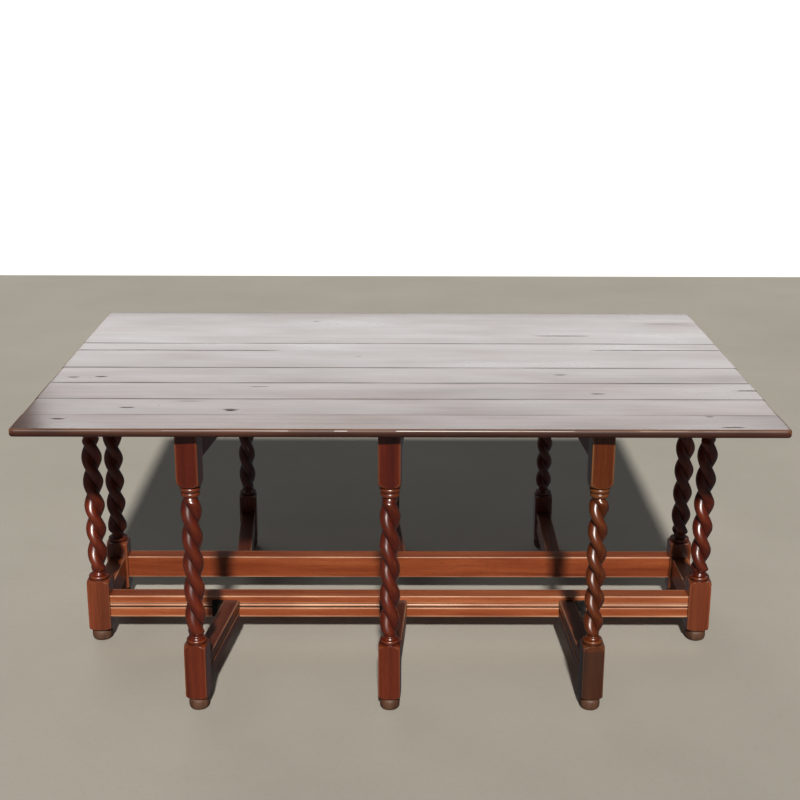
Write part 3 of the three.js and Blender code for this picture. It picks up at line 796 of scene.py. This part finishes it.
class Board:
    """One board, drawn as sections across it: its top from front to back, then its underside."""

    def __init__(self, node, seed, short, low_by):
        self.seed = seed
        low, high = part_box(node)
        self.front, self.back = low.y, high.y
        self.front_edge, self.back_edge = edge_kind(low.y), edge_kind(high.y)
        self.marks = MARKS[node]
        self.half = cad_high.x - short * MM
        self.low_by = low_by * MM
        self.columns = self.top_columns()
        self.under = self.under_columns()

    def stations(self):
        """X places of the sections: close together at the board's ends, and even in between."""
        half = self.half
        even = np.linspace(-half + INNER_END, half - INNER_END, INNER_STATIONS)
        return np.concatenate([-half + END_STATIONS, even, (half - END_STATIONS)[::-1]])

    def top_columns(self):
        """Y places of the top's columns: close together at its edges and marks, and even in between."""
        front, back = self.front, self.back
        inner = np.arange(front + 9 * MM, back - 8 * MM, COLUMN_SPACING)
        crossing = []
        for y, _, _, half, _ in self.marks:
            inner = inner[np.abs(inner - y * MM) > max(5, 3 * half) * MM]
            crossing += [(y + half * k) * MM for k in (-2.2, -1, -0.35, 0, 0.35, 1, 2.2)]
        edges = [front + edge_offsets(self.front_edge), back - edge_offsets(self.back_edge)]
        beside_edges = [front + 7.5 * MM, back - 7.5 * MM]
        return np.sort(np.concatenate([inner, crossing, *edges, beside_edges]))

    def under_columns(self):
        from_back = self.back - edge_offsets(self.back_edge)
        even = np.arange(self.back - 15 * MM, self.front + 12 * MM, -UNDER_SPACING)
        to_front = (self.front + edge_offsets(self.front_edge))[::-1]
        return np.concatenate([from_back, even, to_front])

    def joint_dirt(self, x, edges):
        """Dirt along the joints with the next boards. Both boards at a joint have it alike."""
        dirt_and_shade = 0.0
        for (edge, distance), joint_y in zip(edges, (self.front, self.back)):
            if edge is not EDGE:
                filled = edge["dirt_and_shade"] * (1 + 0.7 * wobble(x, round(abs(joint_y) * 200), 0.47))
                dirt_and_shade = np.maximum(dirt_and_shade, filled * near(distance, edge["spread"]))
        return dirt_and_shade

    def worn_and_lit(self, x, end, edges):
        """Wear of the nosing along the outer edges and ends."""
        nosing = 0.8 * near(end - 4 * MM, 4 * MM)
        for edge, distance in edges:
            if edge is EDGE:
                nosing = np.maximum(nosing, near(distance - 4.5 * MM, 3 * MM))
        patchy = 0.6 + 0.4 * wobble(x, self.seed + 70, 0.31)
        return nosing * patchy * 0.8

    def mark(self, x, index):
        """How far one split or knot moves the columns at x, and how deep and how dirty it is there."""
        mark_y, first, last, width, depth = self.marks[index]
        ease = (12 if last - first < 60 else 60) * MM
        opening = 1.0 if first == -OPEN else (x - first * MM) / ease
        closing = 1.0 if last == OPEN else (last * MM - x) / ease
        gaping = max(0.0, min(opening, closing, 1.0)) * (0.75 + 0.25 * wobble(x, 40 + index, 0.05))
        across = self.columns - mark_y * MM
        wander = 1.5 * MM * wobble(x, 60 + index + self.seed, 0.4)
        move = np.where(np.abs(across) < 2.5 * width * MM, wander, 0.0)
        hollow = depth * MM * gaping * near(across, 0.8 * width * MM)
        dirt_and_shade = np.clip(1.3 * gaping * near(across, 1.7 * width * MM), 0, 1)
        return move, hollow, dirt_and_shade

    def section(self, x):
        """The points, wear and dirt of the section at x."""
        end = self.half - abs(x)
        inset = corner_inset(end)
        front = self.front + (inset if self.front_edge is EDGE else 0)
        back = self.back - (inset if self.back_edge is EDGE else 0)
        squeeze = (back - front) / (self.back - self.front)
        y = front + (self.columns - self.front) * squeeze
        under_y = front + (self.under - self.front) * squeeze
        edges = ((self.front_edge, y - front), (self.back_edge, back - y))
        over_end = rounding(end, EDGE)

        across = (y - front) / (back - front) * 2 - 1
        crown = CUPPING * across ** 2 * (1 if self.seed % 2 else 0.3)
        uneven = 0.1 * MM * (1 + wobble(x + 3 * y, self.seed + 20, 0.61))
        drop = np.maximum(over_end, edge_drop(edges)) + self.low_by + crown + uneven
        wear, dirt_and_shade = self.worn_and_lit(x, end, edges), self.joint_dirt(x, edges)
        for index in range(len(self.marks)):
            move, hollow, soil_and_shade = self.mark(x, index)
            y = y + move
            drop = drop + hollow
            dirt_and_shade = np.maximum(dirt_and_shade, soil_and_shade)
        top_z = TABLE_TOP - np.minimum(drop, DEEPEST)

        under_edges = ((self.front_edge, under_y - front), (self.back_edge, back - under_y))
        under_z = UNDERSIDE + np.minimum(np.maximum(over_end, edge_drop(under_edges)), DEEPEST)
        ys = np.concatenate([y, under_y])
        points = np.column_stack([np.full(len(ys), x), ys, np.concatenate([top_z, under_z])])
        clean = np.zeros(len(under_y))
        wear = np.concatenate([np.broadcast_to(wear, len(y)), clean])
        dirt_and_shade = np.concatenate([np.broadcast_to(dirt_and_shade, len(y)), clean])
        return points, wear, dirt_and_shade


def add_board(node, seed, body, short, low_by, bleach_and_sheen_amount):
    board = Board(node, seed, short, low_by)
    sections = [board.section(x) for x in board.stations()]
    points, wear, dirt_and_shade = (np.array(values) for values in zip(*sections))
    faces = [tuple(reversed(face)) for face in loft_faces(*points.shape[:2])]
    flat = points.reshape(-1, 3)
    in_edge = [int(flat[list(face[:4]), 2].mean() < TABLE_TOP - EDGE_BELOW) for face in faces]
    # Boards further back get more of the grey, because the painted sheen grows towards the back.
    bleach_and_sheen = bleach_and_sheen_amount * (0.8 + 0.2 * wobble(flat[:, 0] + 2 * flat[:, 1], seed + 90, 0.8))
    tints = {"wear": wear, "dirt_and_shade": dirt_and_shade, "bleach_and_sheen": bleach_and_sheen}
    make_piece(node, points, faces, ["top", "top_edge"], body, [node], None, tints, 40, in_edge)


def add_boards():
    for seed, (node, values) in enumerate(BOARDS.items()):
        add_board(node, seed, *values)


# -------------------------------- hinges

KNUCKLES = 5  # in each hinge; the moving half has the second and the fourth
PLATE = 1.6 * MM
TONGUE_LAP = 1 * MM  # how far a knuckle's tongue lies over its plate
GATE_BARREL = 4.5 * MM
GATE_PLATE = (5.1 * MM, 28 * MM)  # where a gate hinge's plate begins and ends, from its axis
GATE_SCREWS = ((12, 0.18), (22, 0.5), (12, 0.82))  # millimetres from the axis, part of the height
LEAF_BARREL = 2.9 * MM
LEAF_PLATE = (LEAF_BARREL + 2 * GAP, 26 * MM)
LEAF_HALF = 30 * MM  # half a leaf hinge's length
LEAF_SCREWS = ((-20, 12), (0, 20), (20, 12))  # millimetres along the pin and from it
PIN_END = ((-1.2, 1.6), (-0.6, 2.6), (0.2, 2.6))  # millimetres inside the hinge's end, and radius


def order(outline, plane):
    """The outline, turned round where its plane is a mirrored one, so that faces point out."""
    outline = list(map(tuple, outline))
    return outline if plane.to_3x3().determinant() > 0 else outline[::-1]


class Metalwork:
    """Gathers the closed shells of one iron piece: plates, knuckles, pins and screw heads."""

    def __init__(self):
        self.points, self.faces = [], []

    def shell(self, rings):
        """A lofted shell with a cap at each end."""
        rings = np.array(rings)
        base = len(self.points)
        self.points.extend(rings.reshape(-1, 3).tolist())
        for face in loft_faces(rings.shape[0], rings.shape[1]):
            self.faces.append(tuple(base + i for i in face))

    def extrude(self, outline, low, high, plane, bevel=0.25 * MM):
        """A sheet from an outline between two heights above its plane."""
        outline = np.array(outline)
        centre = outline.mean(0)
        inward = outline - (outline - centre) / np.linalg.norm(outline - centre, axis=1)[:, None] * bevel
        levels = [(inward, low), (outline, low + bevel), (outline, high - bevel), (inward, high)]
        self.shell([[plane @ Vector((x, y, z)) for x, y in line] for line, z in levels])

    def turn(self, profile, axis, segments=24):
        """A turned shell from (height, radius) pairs along the axis, which is its frame's z."""
        angles = np.linspace(0, 2 * np.pi, segments, endpoint=False)
        around = [(math.cos(a), math.sin(a)) for a in angles]
        self.shell([[axis @ Vector((r * x, r * y, z)) for x, y in around] for z, r in profile])

    def plate(self, x0, x1, y0, y1, plane, radius=2.5 * MM):
        corners = [(x0, y0, radius), (x1, y0, radius), (x1, y1, radius), (x0, y1, radius)]
        self.extrude(order(rounded(corners)[0], plane), 0, PLATE, plane)

    def tongue(self, x0, x1, y0, y1, plane):
        """The strip of sheet that joins a plate to one of its knuckles."""
        self.extrude(order([(x0, y0), (x1, y0), (x1, y1), (x0, y1)], plane), 0, PLATE, plane, 0.1 * MM)

    def knuckle(self, low, high, radius, axis):
        b = 0.3 * MM
        self.turn([(low, radius - b), (low + b, radius), (high - b, radius), (high, radius - b)], axis)

    def screw(self, spot, radius=3.2 * MM):
        """A slotted countersunk head, a little proud of the plate."""
        self.turn([(-0.2 * MM, radius), (0.1 * MM, radius), (0.2 * MM, radius - 0.2 * MM)], spot, 20)
        for flip in (0, math.pi):
            arc = np.linspace(0.13, math.pi - 0.13, 11)
            half = [((radius - 0.3 * MM) * math.cos(a), (radius - 0.3 * MM) * math.sin(a)) for a in arc]
            self.extrude(half, 0.1 * MM, 0.5 * MM, spot @ Matrix.Rotation(flip, 4, "Z"), 0.1 * MM)

    def piece(self, name, body, replaces=()):
        make_piece(name, self.points, self.faces, ["iron"], body, replaces)


def knuckle_spans(length, moving):
    """Where the knuckles of one half of a hinge begin and end along its pin."""
    step = length / KNUCKLES
    return [(i * step + GAP / 2, (i + 1) * step - GAP / 2) for i in range(1 if moving else 0, KNUCKLES, 2)]


def add_gate_hinge(level, side, position):
    """A butt hinge in the corner between the frame's face and the gate rail's closing side."""
    body, gate, fold = gate_of(side, position)
    sign = SIDES[side]
    node = f"gate_hinge_{level}_{side}_{position}"
    low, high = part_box(node)
    height = high.z - low.z
    hinge = Matrix.Translation(gate.translation)
    turn = gate.to_3x3().to_4x4()
    away = HINGE_OFFSET - GAP
    begin, end = GATE_PLATE

    # On the frame, the plate lies flat on its face, and reaches towards the fold.
    fixed = Matrix(((fold, 0, 0, 0), (0, 0, -sign, -sign * away), (0, 1, 0, low.z), (0, 0, 0, 1)))
    # On the gate, the plate lies on the rail's side, and reaches along the rail.
    moving = Matrix(((0, 0, fold, -fold * away), (sign, 0, 0, 0), (0, 1, 0, low.z), (0, 0, 0, 1)))
    halves = (
        (node, "root", hinge @ fixed, False, [node]),
        (node + "_moving", body, hinge @ turn @ moving, True, []),
    )
    for name, rides, plane, moves, replaces in halves:
        work = Metalwork()
        work.plate(begin, end, 0, height, plane)
        for z0, z1 in knuckle_spans(height, moves):
            work.tongue(0, begin + TONGUE_LAP, z0, z1, plane)
            work.knuckle(low.z + z0, low.z + z1, GATE_BARREL, hinge)
        for along, up in GATE_SCREWS:
            work.screw(plane @ Matrix.Translation((along * MM, up * height, PLATE)))
        if not moves:
            work.turn([(low.z + z * MM, radius * MM) for z, radius in PIN_END], hinge, 16)
            work.turn([(high.z - z * MM, radius * MM) for z, radius in reversed(PIN_END)], hinge, 16)
        work.piece(name, rides, replaces)


def add_leaf_hinge(side, position):
    """A back-flap hinge on the underside, with its pin along the joint between leaf and centre."""
    sign = SIDES[side]
    joint = JOINTS[f"{side}_leaf"]
    low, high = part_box(f"leaf_hinge_fixed_{side}_{position}")
    pin = Vector(((low.x + high.x) / 2, joint["pos_m"][1], joint["pos_m"][2]))
    axis = Matrix.Translation(pin) @ Matrix.Rotation(math.pi / 2, 4, "Y")
    begin, end = LEAF_PLATE
    halves = (("fixed", -sign, False, "root"), ("moving", sign, True, f"{side}_leaf"))
    for kind, toward, moves, body in halves:
        work = Metalwork()
        plane = Matrix(((1, 0, 0, pin.x), (0, toward, 0, pin.y), (0, 0, -1, UNDERSIDE - GAP), (0, 0, 0, 1)))
        work.plate(-LEAF_HALF, LEAF_HALF, begin, end, plane)
        for x0, x1 in knuckle_spans(2 * LEAF_HALF, moves):
            work.tongue(x0 - LEAF_HALF, x1 - LEAF_HALF, 0, begin + TONGUE_LAP, plane)
            work.knuckle(x0 - LEAF_HALF, x1 - LEAF_HALF, LEAF_BARREL, axis)
        for across, out in LEAF_SCREWS:
            work.screw(plane @ Matrix.Translation((across * MM, out * MM, PLATE)), 2.6 * MM)
        node = f"leaf_hinge_{kind}_{side}_{position}"
        work.piece(node, body, [node])


def add_hinges():
    for side, position in GATES:
        for level in ("upper", "lower"):
            add_gate_hinge(level, side, position)
    for side in SIDES:
        for position in POSITIONS:
            add_leaf_hinge(side, position)


# -------------------------------- floor, light and camera

WALL_Y = 4.8
WALL_HEIGHT = 6.0
FLOOR_FRONT = -8.0
STAGE_HALF = 9.0
CARD_RADIANCE = 2.2
CARD_SIZE = (2.5, 0.75)
CAMERA_PLACE = (-0.0165, -3.579, 1.722)
CAMERA_TURN = (16.77, 0.274, 0.198)  # degrees of pitch, yaw and roll


def add_to_scene(name, data):
    obj = bpy.data.objects.new(name, data)
    bpy.context.scene.collection.objects.link(obj)
    return obj


def add_stage(name, material, line):
    """A floor or wall: a line of (y, z) points, drawn out along X. It doesn't show in the polish."""
    points = [(x, y, z) for y, z in line for x in (-STAGE_HALF, STAGE_HALF)]
    mesh = bpy.data.meshes.new(name)
    mesh.from_pydata(points, [], [(0, 1, 3, 2)])
    mesh.materials.append(material)
    obj = add_to_scene(name, mesh)
    obj.visible_glossy = False
    return obj


def add_floor():
    n = Nodes("floor_pale_concrete")
    place = n.add("TexCoord", output=3)
    cloud = n.stretched(place, (1.1, 1.1, 1.1), Detail=6.0, Roughness=0.6)
    speck = n.stretched(place, (90, 90, 90), Detail=2.0)
    colour = n.ramp(cloud, (0.3, (0.395, 0.37, 0.322)), (0.7, (0.445, 0.42, 0.368)))
    colour = n.blend(n.levels(speck, 0.55, 0.75, 0.0, 0.15), colour, (0.28, 0.26, 0.23, 1))
    n.put(n.shader.inputs["Base Color"], colour)
    n.shader.inputs["Roughness"].default_value = 0.85
    add_stage("floor", n.material, [(FLOOR_FRONT, 0), (WALL_Y, 0)])


def add_backdrop():
    """A white wall, which neither lights the table nor shades it."""
    n = Nodes("backdrop_white")
    place = n.add("TexCoord", output=3)
    cloud = n.stretched(place, (0.4, 0.4, 0.4), Detail=2.0)
    n.put(n.shader.inputs["Base Color"], n.ramp(cloud, (0.3, (0.86, 0.87, 0.88)), (0.7, (0.9, 0.905, 0.91))))
    n.shader.inputs["Roughness"].default_value = 0.9
    wall = add_stage("backdrop", n.material, [(WALL_Y, 0), (WALL_Y, WALL_HEIGHT)])
    wall.visible_diffuse = False
    wall.visible_shadow = False


def add_sun(name, strength, softness, elevation, bearing):
    """Light from one side of the sky. Softness is the sun's width; it and the two angles are degrees."""
    sun = bpy.data.lights.new(name, "SUN")
    sun.energy = strength
    sun.angle = math.radians(softness)
    obj = add_to_scene(name, sun)
    obj.rotation_euler = (math.radians(90 - elevation), 0, math.radians(bearing))
    return obj


def add_lights():
    world = bpy.data.worlds.new("studio")
    bpy.context.scene.world = world
    world.use_nodes = True
    background = world.node_tree.nodes["Background"]
    background.inputs["Color"].default_value = (0.9, 0.95, 1, 1)
    background.inputs["Strength"].default_value = 0.085

    key = add_sun("key", 4.4, 2.8, elevation=36, bearing=1)
    key.data.color = (1, 0.97, 0.92)

    # A dim light from behind, which doesn't shine on the polish, so that the back isn't seen in the dark.
    fill = add_sun("fill", 0.9, 40, elevation=20, bearing=205)
    fill.visible_glossy = False

    # A white card behind the table, which only shows as the sheen on its top.
    width, height = CARD_SIZE
    card = bpy.data.lights.new("card", "AREA")
    card.shape = "RECTANGLE"
    card.size, card.size_y = width, height
    card.energy = CARD_RADIANCE * math.pi * width * height
    sheen = add_to_scene("card", card)
    sheen.location = (0.08, cad_high.y + 0.08, TABLE_TOP + 0.02 + height / 2)
    sheen.rotation_euler = (math.radians(-90), 0, 0)
    sheen.visible_diffuse = False
    sheen.visible_camera = False


def add_camera():
    """Stands in front of the table at a standing person's eye height, tilted as the photo's was."""
    data = bpy.data.cameras.new("camera")
    data.lens = 61.8
    data.sensor_width = 36
    data.clip_end = 200
    camera = add_to_scene("camera", data)
    pitch, yaw, roll = (math.radians(angle) for angle in CAMERA_TURN)
    forward = Vector((math.sin(yaw) * math.cos(pitch), math.cos(yaw) * math.cos(pitch), -math.sin(pitch)))
    look = forward.to_track_quat("-Z", "Y").to_matrix().to_4x4()
    camera.matrix_world = Matrix.Translation(CAMERA_PLACE) @ look @ Matrix.Rotation(roll, 4, "Z")
    bpy.context.scene.camera = camera


add_camera()
add_lights()
add_floor()
add_backdrop()
add_boards()
add_legs()
add_frame_bars()
add_gate_rails()
add_hinges()

bpy.context.scene.view_settings.view_transform = "Standard"
bpy.context.scene.view_settings.gamma = 0.92
bpy.context.view_layer.update()
